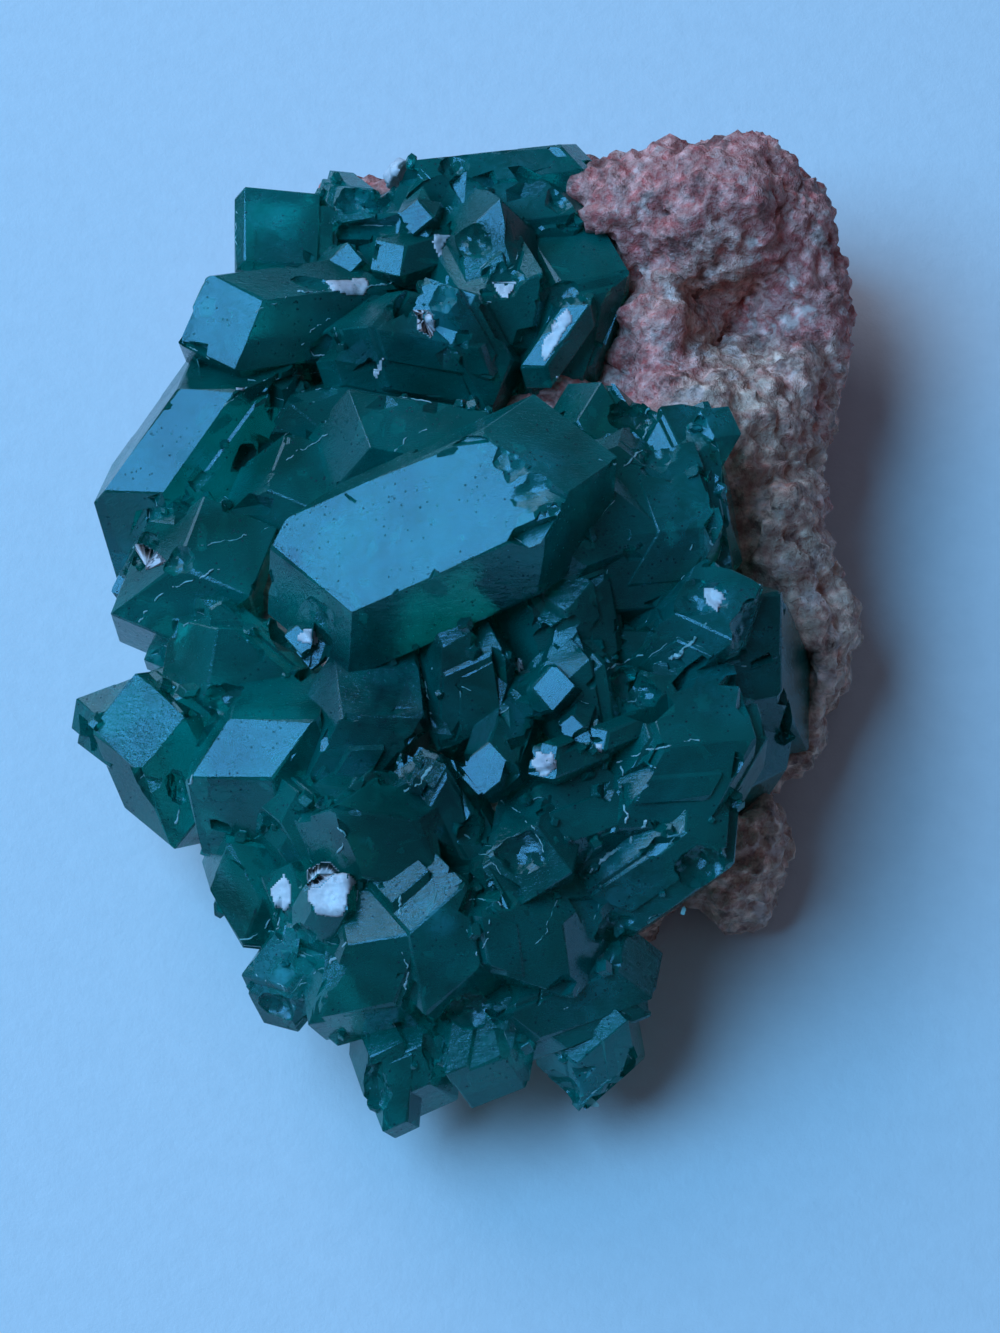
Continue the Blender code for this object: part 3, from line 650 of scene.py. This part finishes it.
CRACKS = (
    Crack(((330, 820), (345, 835), (332, 860)), 0.06),
    Crack(((400, 895), (396, 930), (408, 965), (405, 1000)), 0.07),
    Crack(((380, 890), (395, 893), (410, 887)), 0.05),
    Crack(((300, 985), (322, 970), (345, 945)), 0.06),
    Crack(((490, 920), (488, 938), (475, 955)), 0.06),
    Crack(((565, 1010), (578, 996), (580, 985)), 0.05),
    Crack(((616, 763), (640, 752), (668, 745), (700, 738)), 0.06),
    Crack(((620, 765), (625, 785), (627, 805), (625, 822)), 0.08),
    Crack(((578, 882), (600, 862), (625, 845), (648, 822)), 0.11),
    Crack(((663, 850), (672, 842), (682, 828)), 0.05),
    Crack(((430, 668), (427, 690), (431, 712)), 0.07),
    Crack(((405, 790), (420, 783), (432, 765)), 0.07),
    Crack(((640, 668), (665, 662), (690, 645), (706, 622), (715, 600)), 0.12),
    Crack(((600, 675), (620, 662), (640, 655)), 0.05),
    Crack(((625, 705), (640, 698), (652, 694)), 0.06),
    Crack(((193, 775), (182, 790), (178, 805), (176, 822)), 0.06),
    Crack(((137, 620), (150, 605), (165, 590), (195, 580), (220, 568)), 0.06),
    Crack(((200, 545), (235, 540), (270, 528)), 0.04),
    Crack(((285, 460), (320, 440), (345, 418)), 0.04),
    Crack(((395, 452), (405, 440), (425, 430)), 0.05),
    Crack(((565, 1080), (585, 1072), (600, 1080)), 0.06),
    Crack(((560, 890), (545, 935), (535, 945)), 0.04),
    Crack(((465, 835), (475, 850), (490, 858)), 0.05),
    Crack(((500, 800), (520, 812), (535, 830), (542, 850)), 0.05),
    Crack(((250, 380), (290, 376), (330, 372)), 0.05),
    Crack(((255, 312), (300, 292), (350, 287), (405, 283)), 0.06),
    Crack(((300, 345), (312, 330), (330, 318)), 0.04),
    Crack(((235, 205), (237, 225), (236, 250)), 0.05),
    Crack(((270, 930), (290, 950), (310, 960)), 0.06),
    Crack(((255, 975), (280, 985), (295, 1010)), 0.06),
    Crack(((240, 940), (262, 930), (282, 905)), 0.05),
    Crack(((500, 905), (492, 900), (470, 898)), 0.04),
    Crack(((690, 550), (700, 535), (715, 528)), 0.05),
    Crack(((690, 500), (705, 520), (712, 545)), 0.05),
    Crack(((640, 440), (650, 425), (648, 405)), 0.08),
    Crack(((600, 460), (625, 465), (645, 450)), 0.06),
)


CRACK_BEND = 9.0
CRACK_WANDER = 3.6


def add_crack(bm, tree, crack, draw):
    """Follows the surface under the crack's pixels."""
    points = []
    for seen in along_pixels(crack.seen, SEAM_STEP * PIXELS_PER_MILLIMETRE):
        seen += noise.noise_vector(seen.to_3d() / CRACK_BEND).to_2d() * CRACK_WANDER
        spot, normal = hit(tree, seen)
        if spot is not None:
            points.append(spot / MILLIMETRE)
    add_seam(bm, points, crack.width * 0.8, draw)


class Film(NamedTuple):
    """A thin uneven crust: the pixels round it, and its thickness in millimetres."""
    outline: tuple
    thickness: float


PALE_FILMS = (
    Film(((305, 868), (328, 860), (338, 870), (354, 880), (350, 900), (340, 918), (318, 915), (308, 900)), 0.07),
    Film(((271, 888), (285, 872), (295, 890), (288, 910), (275, 912)), 0.05),
    Film(((296, 632), (310, 629), (322, 637), (316, 646), (300, 642)), 0.06),
    Film(((320, 279), (345, 277), (370, 282), (366, 293), (330, 294)), 0.06),
    Film(((490, 277), (505, 284), (522, 276), (516, 292), (505, 303), (494, 292)), 0.07),
    Film(((432, 236), (455, 233), (447, 245), (436, 262)), 0.06),
    Film(((413, 310), (428, 312), (438, 322), (432, 337), (416, 330)), 0.06),
    Film(((540, 345), (552, 322), (568, 307), (571, 320), (560, 345), (545, 365), (538, 358)), 0.07),
    Film(((704, 588), (722, 590), (728, 600), (716, 612), (706, 604)), 0.08),
    Film(((532, 757), (540, 750), (555, 752), (555, 772), (540, 776), (534, 768)), 0.06),
    Film(((514, 662), (522, 656), (527, 668), (520, 671)), 0.06),
    Film(((592, 742), (606, 740), (605, 752), (597, 755)), 0.05),
    Film(((370, 375), (378, 360), (386, 352), (382, 372), (374, 380)), 0.06),
    Film(((232, 388), (250, 386), (240, 394)), 0.05),
    Film(((132, 540), (150, 545), (165, 560), (150, 572), (140, 560)), 0.05),
    Film(((548, 376), (556, 374), (555, 384)), 0.05),
)

class Part(NamedTuple):
    """A spot of painted glow or painted shade on the crystals: its pixel, its radius in millimetres and its
    strength.
    """
    seen: tuple
    radius: float
    strength: float


# Painted glow: spots where the crystals' colour is turned bright cyan, as if lit from within.
PAINTED_GLOW_PARTS = (
    Part((705, 412), 2.0, 1.0),
    Part((738, 445), 1.6, 0.9),
    Part((700, 505), 4.2, 0.5),
    Part((440, 310), 2.2, 0.9),
    Part((360, 208), 1.8, 0.6),
    Part((735, 650), 4.0, 0.6),
    Part((718, 605), 1.3, 1.0),
    Part((625, 900), 3.2, 0.6),
    Part((595, 990), 3.0, 0.5),
    Part((280, 972), 2.8, 0.8),
    Part((535, 465), 2.2, 0.6),
    Part((580, 1085), 1.8, 0.7),
    Part((120, 690), 1.8, 0.6),
    Part((125, 560), 1.6, 0.7),
    Part((198, 465), 1.2, 1.0),
    Part((265, 225), 2.8, 0.4),
    Part((440, 920), 1.0, 0.9),
    Part((510, 185), 3.6, 0.5),
)

# Painted shade: spots where the crystals' colour is darkened nearly to black, in the deep, hollow parts of the
# cluster.
PAINTED_SHADE_PARTS = (
    Part((400, 700), 5.6, 0.95),
    Part((440, 790), 5.4, 0.9),
    Part((335, 655), 3.2, 0.85),
    Part((525, 835), 3.6, 0.75),
    Part((565, 720), 3.0, 0.7),
    Part((290, 560), 2.2, 0.85),
    Part((500, 605), 2.8, 0.8),
    Part((430, 622), 2.4, 0.7),
    Part((400, 345), 3.4, 0.6),
    Part((622, 590), 3.6, 0.6),
    Part((460, 985), 3.6, 0.6),
    Part((420, 215), 1.6, 0.7),
    Part((400, 1065), 2.6, 0.6),
    Part((640, 800), 2.6, 0.6),
)

FILM_STEP = 2.0
FILM_RAGGED = 5.0
FILM_LARGEST_GAP = 0.5
FILM_BITE = 0.35


def inside(point, outline):
    """True if the point lies in the outline."""
    crossings = 0
    for (x1, y1), (x2, y2) in zip(outline, outline[1:] + outline[:1]):
        if (y1 > point[1]) != (y2 > point[1]):
            crossings += point[0] < x1 + (point[1] - y1) / (y2 - y1) * (x2 - x1)
    return crossings % 2 == 1


def add_film(bm, tree, film):
    """A sheet on the surface under the outline, with a ragged rim and holes, as top and underside."""
    xs = [x for x, y in film.outline]
    ys = [y for x, y in film.outline]
    columns = int((max(xs) - min(xs)) / FILM_STEP) + 2
    rows = int((max(ys) - min(ys)) / FILM_STEP) + 2
    grid = {}
    for column in range(columns):
        for row in range(rows):
            seen = (min(xs) + column * FILM_STEP, min(ys) + row * FILM_STEP)
            coarse = Vector((seen[0] / 14, seen[1] / 14, 0))
            shaken = Vector(seen) + noise.noise_vector(coarse).to_2d() * FILM_RAGGED
            if not inside(shaken, film.outline):
                continue
            spot, normal = hit(tree, seen)
            if spot is None:
                continue
            bumpy = film.thickness * (0.4 + FILM_BITE + noise.noise(Vector((seen[0] / 5, seen[1] / 5, 3))))
            grid[column, row] = (spot / MILLIMETRE, normal, bumpy)
    sheet = {}
    for column, row in grid:
        corners = [(column, row), (column, row + 1), (column + 1, row + 1), (column + 1, row)]
        if not all(corner in grid for corner in corners):
            continue
        spots = [grid[corner][0] for corner in corners]
        if max((a - b).length for a in spots for b in spots) > FILM_LARGEST_GAP:
            continue
        for corner in corners:
            if corner not in sheet:
                spot, normal, bumpy = grid[corner]
                top = bm.verts.new((spot + normal * bumpy) * MILLIMETRE)
                low = bm.verts.new((spot - normal * film.thickness) * MILLIMETRE)
                sheet[corner] = (top, low)
        bm.faces.new([sheet[corner][0] for corner in corners])
        bm.faces.new([sheet[corner][1] for corner in corners[::-1]])
    close_rims(bm)


def close_rims(bm):
    """Joins the open rims of a film's top and underside, which have the same number of points."""
    rims = [edge for edge in bm.edges if edge.is_boundary]
    if rims:
        bmesh.ops.bridge_loops(bm, edges=rims)


def film_object(name, films, tree):
    """All films of a kind as one piece."""
    whole = bmesh.new()
    for film in films:
        bm = bmesh.new()
        add_film(bm, tree, film)
        add_mesh_of(whole, bm)
    made = object_from(whole, name)
    made.data.shade_smooth()
    return made


VEIL_COUNT = 200
VEIL_DEPTH = (0.25, 1.8)
VEIL_RADIUS = (0.15, 0.9)
VEIL_CORNERS = 11
VEIL_THICKNESS = 0.012
PICTURE_REACH = ((90, 790), (150, 1110))


def make_veils(tree, draw):
    """Thin cracks inside the crystals, which glint through the faces above them."""
    bm = bmesh.new()
    for number in range(VEIL_COUNT):
        seen = (draw.uniform(*PICTURE_REACH[0]), draw.uniform(*PICTURE_REACH[1]))
        spot, normal = hit(tree, seen)
        radius = draw.uniform(*VEIL_RADIUS)
        depth = draw.uniform(*VEIL_DEPTH) + radius * 0.6
        if spot is None or normal.z < UPWARD_LEAST:
            continue
        middle = spot / MILLIMETRE - normal * depth
        tilt = Vector((draw.gauss(0, 0.5), draw.gauss(0, 0.5), draw.gauss(0, 0.5)))
        turn = (normal + tilt).normalized().to_track_quat("Z", "Y").to_matrix()
        stretch = draw.uniform(0.3, 1)
        top, low = [], []
        for corner in range(VEIL_CORNERS):
            reach = radius * draw.uniform(0.55, 1)
            out = flat_direction(corner * 360 / VEIL_CORNERS) * reach
            rim = turn @ Vector((out.x, out.y * stretch, 0))
            rise = turn @ Vector((0, 0, VEIL_THICKNESS))
            top.append(bm.verts.new((middle + rim + rise) * MILLIMETRE))
            low.append(bm.verts.new((middle + rim - rise) * MILLIMETRE))
        bm.faces.new(top)
        bm.faces.new(low[::-1])
        for corner in range(VEIL_CORNERS):
            after = (corner + 1) % VEIL_CORNERS
            bm.faces.new((low[corner], low[after], top[after], top[corner]))
    return object_from(bm, "inner_cracks")


def node_of(tree, kind, **values):
    """A new node, with values for its properties."""
    node = tree.nodes.new(kind)
    for name, value in values.items():
        setattr(node, name, value)
    return node


class Shader:
    """Builds a material's nodes: each method returns the socket that carries its result."""

    def __init__(self, name):
        self.material = bpy.data.materials.new(name)
        self.material.use_nodes = True
        self.tree = self.material.node_tree
        self.surface = self.tree.nodes["Principled BSDF"]
        self.output = self.tree.nodes["Material Output"]
        self.places = node_of(self.tree, "ShaderNodeTexCoord").outputs["Object"]

    def link(self, source, target):
        self.tree.links.new(source, target)

    def fill(self, socket, value):
        """Links a socket's value, or sets a plain one."""
        if isinstance(value, bpy.types.NodeSocket):
            self.link(value, socket)
        else:
            socket.default_value = value

    def noise(self, scale, detail=4, roughness=0.55, distortion=0.0, stretch=(1, 1, 1)):
        mapping = node_of(self.tree, "ShaderNodeMapping")
        mapping.inputs["Scale"].default_value = stretch
        self.link(self.places, mapping.inputs["Vector"])
        node = node_of(self.tree, "ShaderNodeTexNoise")
        self.link(mapping.outputs["Vector"], node.inputs["Vector"])
        node.inputs["Scale"].default_value = scale
        node.inputs["Detail"].default_value = detail
        node.inputs["Roughness"].default_value = roughness
        node.inputs["Distortion"].default_value = distortion
        return node.outputs["Fac"]

    def cells(self, scale, feature="F1", output="Distance", randomness=1.0):
        node = node_of(self.tree, "ShaderNodeTexVoronoi", feature=feature)
        self.link(self.places, node.inputs["Vector"])
        node.inputs["Scale"].default_value = scale
        node.inputs["Randomness"].default_value = randomness
        return node.outputs[output]

    def spread(self, source, low, high, out_low=0.0, out_high=1.0):
        node = node_of(self.tree, "ShaderNodeMapRange")
        self.link(source, node.inputs["Value"])
        for name, value in (("From Min", low), ("From Max", high), ("To Min", out_low), ("To Max", out_high)):
            node.inputs[name].default_value = value
        return node.outputs["Result"]

    def mix(self, share, first, second):
        node = node_of(self.tree, "ShaderNodeMix", data_type="RGBA")
        self.fill(node.inputs["Factor"], share)
        self.fill(node.inputs["A"], first)
        self.fill(node.inputs["B"], second)
        return node.outputs["Result"]

    def near(self, spot, radius, strength):
        """The strength at the spot, which falls to nothing at the radius and is negative beyond it."""
        node = node_of(self.tree, "ShaderNodeVectorMath", operation="DISTANCE")
        self.link(self.places, node.inputs[0])
        node.inputs[1].default_value = spot
        fall = node_of(self.tree, "ShaderNodeMath", operation="MULTIPLY_ADD")
        self.link(node.outputs["Value"], fall.inputs[0])
        fall.inputs[1].default_value = -strength / radius
        fall.inputs[2].default_value = strength
        return fall.outputs["Value"]

    def height(self, axis):
        """The coordinate along X, Y or Z, in metres."""
        node = node_of(self.tree, "ShaderNodeSeparateXYZ")
        self.link(self.places, node.inputs[0])
        return node.outputs[axis]

    def sum(self, first, second, operation="ADD"):
        node = node_of(self.tree, "ShaderNodeMath", operation=operation)
        self.fill(node.inputs[0], first)
        self.fill(node.inputs[1], second)
        return node.outputs[0]

    def shade(self, tint, share):
        """The colour made lighter or darker by a number."""
        node = node_of(self.tree, "ShaderNodeVectorMath", operation="SCALE")
        self.link(tint, node.inputs[0])
        self.link(share, node.inputs["Scale"])
        return node.outputs[0]

    def bump(self, height, distance, strength=1.0, before=None):
        node = node_of(self.tree, "ShaderNodeBump")
        self.link(height, node.inputs["Height"])
        node.inputs["Distance"].default_value = distance
        node.inputs["Strength"].default_value = strength
        if before is not None:
            self.link(before, node.inputs["Normal"])
        return node.outputs["Normal"]

    def set(self, **values):
        for name, value in values.items():
            self.fill(self.surface.inputs[name.replace("_", " ")], value)


def colour(red, green, blue):
    return (red, green, blue, 1.0)


def marked(shader, tree, parts):
    """How strongly the parts mark a place, from 0 to 1."""
    share = 0.0
    for part in parts:
        spot, normal = hit(tree, part.seen)
        if spot is not None:
            share = shader.sum(share, shader.near(spot, part.radius * MILLIMETRE, part.strength), "MAXIMUM")
    return share


def crystal_material(tree):
    """Green glass with cloudy painted shade in its deep parts, painted glow in light parts, fine growth marks,
    dull patches and dark painted pit specks.
    """
    shader = Shader("dioptase")
    broad = shader.spread(shader.noise(170, 2, 0.6, 0.5), 0.35, 0.68)
    body = shader.mix(broad, colour(0.0, 0.26, 0.20), colour(0.0, 0.58, 0.50))
    swirls = shader.noise(620, 3, 0.68, 1.0)
    wisps = shader.spread(swirls, 0.6, 0.8, 0.0, 0.35)
    streaked = shader.mix(wisps, body, colour(0.0, 0.70, 0.66))
    # Painted shade: the dark spots, broken up by clouds, darken the green nearly to black.
    murk = shader.spread(swirls, 0.3, 0.6, 1.0, 0.4)
    painted_shade = shader.sum(marked(shader, tree, PAINTED_SHADE_PARTS), murk, "MULTIPLY")
    darkened = shader.mix(painted_shade, streaked, colour(0.0, 0.03, 0.045))
    # Painted glow: the light spots, broken up by clouds, turn the green to bright cyan; these places are also
    # made rougher.
    light = marked(shader, tree, PAINTED_GLOW_PARTS)
    clouds = shader.spread(shader.noise(1200, 3, 0.75, 0.7), 0.36, 0.66, 0.15, 1.0)
    painted_glow_share = shader.sum(light, clouds, "MULTIPLY")
    green = shader.mix(painted_glow_share, darkened, colour(0.05, 0.92, 0.98))
    # Painted pit shade: small dark specks in patches, with no hollow in the mesh; these places are also made
    # rougher.
    specks = shader.spread(shader.cells(3300), 0.12, 0.2, 1.0, 0.0)
    patchy = shader.spread(shader.noise(600, 2, 0.7), 0.44, 0.56)
    shaded_pits = shader.sum(specks, patchy, "MULTIPLY")
    pit_shaded_green = shader.mix(shaded_pits, green, colour(0.0, 0.03, 0.035))
    dull = shader.spread(shader.noise(420, 3, 0.65), 0.42, 0.75, 0.07, 0.28)
    rough = shader.sum(dull, shader.sum(shader.sum(shaded_pits, painted_glow_share, "MAXIMUM"), 0.5, "MULTIPLY"))
    waves = shader.bump(shader.noise(330, 2), 0.00009, 0.25)
    marks = shader.bump(shader.noise(1900, 3, 0.75, 0.0, (1, 3, 1)), 0.00005, 0.6, waves)
    shader.set(
        Base_Color=pit_shaded_green,
        Roughness=rough,
        Normal=marks,
        Transmission_Weight=0.80,
        IOR=1.66,
        Specular_Tint=colour(0.42, 0.66, 0.80),
    )
    volume = node_of(shader.tree, "ShaderNodeVolumeAbsorption")
    volume.inputs["Color"].default_value = colour(0.0, 0.66, 0.60)
    volume.inputs["Density"].default_value = 400
    shader.link(volume.outputs["Volume"], shader.output.inputs["Volume"])
    return shader.material


def rock_material():
    """Granular rock: pink at the back, brown along the right, with painted shade in dark spots for pit hollows
    and painted glints in pale spots.
    """
    shader = Shader("rock")
    broad = shader.spread(shader.noise(120, 2, 0.6), 0.35, 0.65, -0.006, 0.006)
    backward = shader.spread(shader.sum(shader.height("Y"), broad), PINK_FROM, PINK_TO)
    fine = shader.spread(shader.noise(1300, 4, 0.8), 0.38, 0.62)
    pink = shader.mix(fine, colour(0.68, 0.13, 0.11), colour(1.0, 0.46, 0.38))
    brown = shader.mix(fine, colour(0.64, 0.27, 0.20), colour(1.0, 0.64, 0.47))
    base = shader.mix(backward, brown, pink)
    grains = shader.spread(shader.cells(1500), 0.1, 0.55, 1.2, 0.65)
    # Painted glints: pale spots scattered by noise stand for small glints on the grains.
    pale = shader.mix(shader.spread(shader.noise(620, 3, 0.7), 0.56, 0.66, 0, 0.8), base, colour(1.0, 0.66, 0.56))
    # Painted shade: dark spots scattered by noise stand for shaded pit hollows.
    dark = shader.spread(shader.noise(430, 4, 0.8), 0.54, 0.64, 0.0, 0.65)
    glints_and_shade = shader.mix(dark, pale, colour(0.09, 0.03, 0.022))
    grained = shader.shade(glints_and_shade, grains)
    rough = shader.spread(shader.noise(2200, 3), 0.35, 0.65, 0.35, 0.95)
    bumps = shader.bump(shader.noise(2600, 3, 0.75), 0.0002, 1.0)
    facets = shader.bump(shader.cells(2100), 0.00012, 0.8, bumps)
    shader.set(Base_Color=grained, Roughness=rough, Normal=facets)
    return shader.material


def pale_material():
    """Pale, milky mineral with faint grey clouds."""
    shader = Shader("pale_mineral")
    clouds = shader.noise(900, 5, 0.6)
    tint = shader.mix(shader.spread(clouds, 0.35, 0.7), colour(0.86, 0.82, 0.80), colour(0.52, 0.46, 0.48))
    rough = shader.spread(shader.noise(1500, 3), 0.3, 0.7, 0.2, 0.6)
    bumps = shader.bump(shader.noise(1800, 6, 0.65), 0.00008, 0.7)
    shader.set(Base_Color=tint, Roughness=rough, Normal=bumps, Transmission_Weight=0.15)
    return shader.material


def seam_material():
    """The rim of a crack: pale mineral with green shining through."""
    shader = Shader("crack_rim")
    clouds = shader.spread(shader.noise(700, 4, 0.7), 0.35, 0.65)
    tint = shader.mix(clouds, colour(0.10, 0.46, 0.44), colour(0.66, 0.80, 0.80))
    rough = shader.spread(shader.noise(1500, 3), 0.3, 0.7, 0.2, 0.6)
    bumps = shader.bump(shader.noise(2600, 3, 0.65), 0.00004, 0.7)
    shader.set(Base_Color=tint, Roughness=rough, Normal=bumps, Transmission_Weight=0.3)
    return shader.material


def veil_material():
    """The surface of a crack inside a crystal: a pale, half clear sheet."""
    shader = Shader("inner_crack")
    clouds = shader.spread(shader.noise(1600, 3, 0.65), 0.35, 0.7)
    tint = shader.mix(clouds, colour(0.10, 0.62, 0.58), colour(0.55, 0.95, 0.92))
    rough = shader.spread(shader.noise(1900, 3), 0.3, 0.7, 0.15, 0.5)
    shader.set(Base_Color=tint, Roughness=rough, Alpha=0.45)
    return shader.material


PINK_FROM = 0.006
PINK_TO = 0.012


class Pit(NamedTuple):
    """A hollow in the rock: its pixel and height, and its radius and depth in millimetres."""
    seen: tuple
    height: float
    radius: float
    depth: float


ROCK_PITS = (
    Pit((738, 318), 11.5, 1.7, 2.7),
    Pit((715, 345), 10.5, 1.0, 1.6),
    Pit((695, 292), 12.0, 0.8, 1.6),
    Pit((750, 285), 11.5, 0.7, 0.8),
    Pit((655, 300), 11.0, 0.7, 0.6),
    Pit((770, 352), 10.5, 0.8, 0.8),
    Pit((745, 385), 10.0, 0.7, 0.8),
    Pit((668, 215), 12.0, 0.6, 0.6),
    Pit((770, 215), 11.5, 0.6, 0.6),
    Pit((720, 190), 12.5, 0.6, 0.5),
    Pit((800, 470), 8.5, 0.6, 0.6),
    Pit((790, 540), 8.0, 0.6, 0.6),
    Pit((625, 370), 9.5, 0.6, 0.6),
)


def press_pits(mesh):
    """Draws the surface away from the viewer round the middle of each pit."""
    right, up, back = view_axes()
    for pit in ROCK_PITS:
        middle = place(pit.seen, pit.height)
        for vertex in mesh.vertices:
            offset = vertex.co / MILLIMETRE - middle
            aside = math.hypot(offset.dot(right), offset.dot(up)) / pit.radius
            deep = offset.dot(back) / ROCK_PIT_REACH
            if aside < 3 and abs(deep) < 1:
                share = math.exp(-aside * aside) * (1 - deep * deep)
                vertex.co -= back * pit.depth * share * MILLIMETRE


ROCK_PIT_REACH = 5.0


def finer_copy(node, name, voxel, layers):
    """The fixed node's shape with a finer mesh, pushed in and out by layers of bumps.

    Each layer is a bump size, a height and a kind: even, soft, creased, or grain for rounded grains.
    """
    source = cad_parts[node]
    made = bpy.data.objects.new(name, source.data.copy())
    made.data.materials.clear()
    bpy.context.scene.collection.objects.link(made)
    remesh = made.modifiers.new("remesh", "REMESH")
    remesh.mode = "VOXEL"
    remesh.voxel_size = voxel * MILLIMETRE
    bake_modifiers(made)
    smooth = made.modifiers.new("smooth", "SMOOTH")
    smooth.iterations = 2
    bake_modifiers(made)
    mesh = made.data
    if node == "matrix":
        press_pits(mesh)
        mesh.update()
    moved = []
    for vertex in mesh.vertices:
        point = vertex.co / MILLIMETRE
        push = 0.0
        for size, height, kind in layers:
            if kind == "grain":
                push += (0.5 - noise.voronoi(point / size)[0][0]) * height
            elif kind == "creased":
                push += (0.4 - noise.turbulence(point / size, 3, True)) * height
            elif kind == "even":
                push += height
            else:
                push += noise.noise(point / size) * height
        moved.append(vertex.co + vertex.normal * push * MILLIMETRE)
    floor = 0.0
    for vertex, point in zip(mesh.vertices, moved):
        vertex.co = (point.x, point.y, max(point.z, floor))
    mesh.shade_smooth()
    return made


def make_camera():
    right, up, back = view_axes()
    data = bpy.data.cameras.new("camera")
    data.lens = LENS
    data.sensor_width = SENSOR
    data.clip_start = 0.01
    data.clip_end = 10
    camera = bpy.data.objects.new("camera", data)
    camera.location = (VIEW_TARGET + back * VIEW_DISTANCE) * MILLIMETRE
    camera.rotation_euler = Matrix((right, up, back)).transposed().to_euler()
    bpy.context.scene.collection.objects.link(camera)
    bpy.context.scene.camera = camera


WINDOW_DIRECTION = Vector((-0.55, -0.02, 0.84)).normalized()
WINDOW_DISTANCE = 0.7
WINDOW_RADIUS = math.radians(22)
WINDOW_POWER = 6.3
SKY_DIRECTION = Vector((-0.55, 0.62, 0.56)).normalized()
SKY_SIZE = 0.5
SKY_POWER = 1.7


def make_lights():
    """One large soft window up on the left, and an even bluish light from all round."""
    data = bpy.data.lights.new("window", "AREA")
    data.shape = "DISK"
    data.size = 2 * WINDOW_DISTANCE * math.tan(WINDOW_RADIUS)
    data.energy = WINDOW_POWER
    data.color = (0.185, 0.54, 1.0)
    window = bpy.data.objects.new("window", data)
    window.location = VIEW_TARGET * MILLIMETRE + WINDOW_DIRECTION * WINDOW_DISTANCE
    window.rotation_euler = WINDOW_DIRECTION.to_track_quat("Z", "Y").to_euler()
    bpy.context.scene.collection.objects.link(window)
    data = bpy.data.lights.new("sky", "AREA")
    data.shape = "DISK"
    data.size = SKY_SIZE
    data.energy = SKY_POWER
    data.color = (0.62, 0.74, 1.0)
    sky = bpy.data.objects.new("sky", data)
    sky.location = VIEW_TARGET * MILLIMETRE + SKY_DIRECTION * WINDOW_DISTANCE
    sky.rotation_euler = SKY_DIRECTION.to_track_quat("Z", "Y").to_euler()
    bpy.context.scene.collection.objects.link(sky)
    world = bpy.data.worlds.new("world")
    world.use_nodes = True
    shade = world.node_tree.nodes["Background"]
    shade.inputs["Color"].default_value = colour(0.55, 0.66, 1.0)
    shade.inputs["Strength"].default_value = 0.12
    bpy.context.scene.world = world


def make_floor():
    """Plain pale paper with a faint tooth."""
    bm = bmesh.new()
    bmesh.ops.create_grid(bm, x_segments=1, y_segments=1, size=1.5)
    floor = object_from(bm, "floor")
    shader = Shader("paper")
    tone = shader.mix(shader.noise(900, 3), colour(0.68, 0.69, 0.69), colour(0.75, 0.76, 0.76))
    tooth = shader.bump(shader.noise(1600, 3, 0.7), 0.0001, 0.35)
    shader.set(Base_Color=tone, Roughness=0.9, Normal=tooth)
    floor.data.materials.append(shader.material)


def finish_piece(piece, material, slot, *nodes):
    piece.data.materials.clear()
    piece.data.materials.append(material)
    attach(piece, "root")
    if nodes:
        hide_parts(*nodes)


bpy.context.scene.view_settings.view_transform = "Standard"
make_camera()
make_lights()
make_floor()

main_crystals = make_crystals("main_crystals", MAIN_CRYSTALS, MAIN_BREAKS, GROOVES, 150, 400, 11)
upper_crystals = make_crystals("upper_crystals", UPPER_CRYSTALS, UPPER_BREAKS, (), 18, 120, 12)
both = bmesh.new()
both.from_mesh(main_crystals.data)
both.from_mesh(upper_crystals.data)
surface = BVHTree.FromBMesh(both)
both.free()
green = crystal_material(surface)
finish_piece(main_crystals, green, "dioptase", "main_cluster")
finish_piece(upper_crystals, green, "dioptase", "upper_cluster")

detail_draw = random.Random(21)
seams = bmesh.new()
add_edge_seams(seams, main_crystals.data, 0.12, detail_draw)
add_edge_seams(seams, upper_crystals.data, 0.12, detail_draw)
for crack in CRACKS:
    add_crack(seams, surface, crack, detail_draw)
pale_seams = object_from(seams, "pale_seams")
pale = pale_material()
finish_piece(pale_seams, seam_material(), "pale_mineral")
finish_piece(film_object("pale_crusts", PALE_FILMS, surface), pale, "pale_mineral")
finish_piece(make_veils(surface, detail_draw), veil_material(), "dioptase")

ROCK_LAYERS = (
    (1.0, 0.3, "even"),
    (3.0, 0.9, "creased"),
    (1.2, 0.6, "creased"),
    (0.7, 0.36, "grain"),
    (0.4, 0.18, "grain"),
)
rock = finer_copy("matrix", "rock", 0.23, ROCK_LAYERS)
finish_piece(rock, rock_material(), "rock", "matrix")

GRAIN_LAYERS = ((0.6, 0.16, "soft"), (0.3, 0.08, "soft"))
grain = finer_copy("pale_grain", "grain", 0.08, GRAIN_LAYERS)
finish_piece(grain, pale, "pale_mineral", "pale_grain")
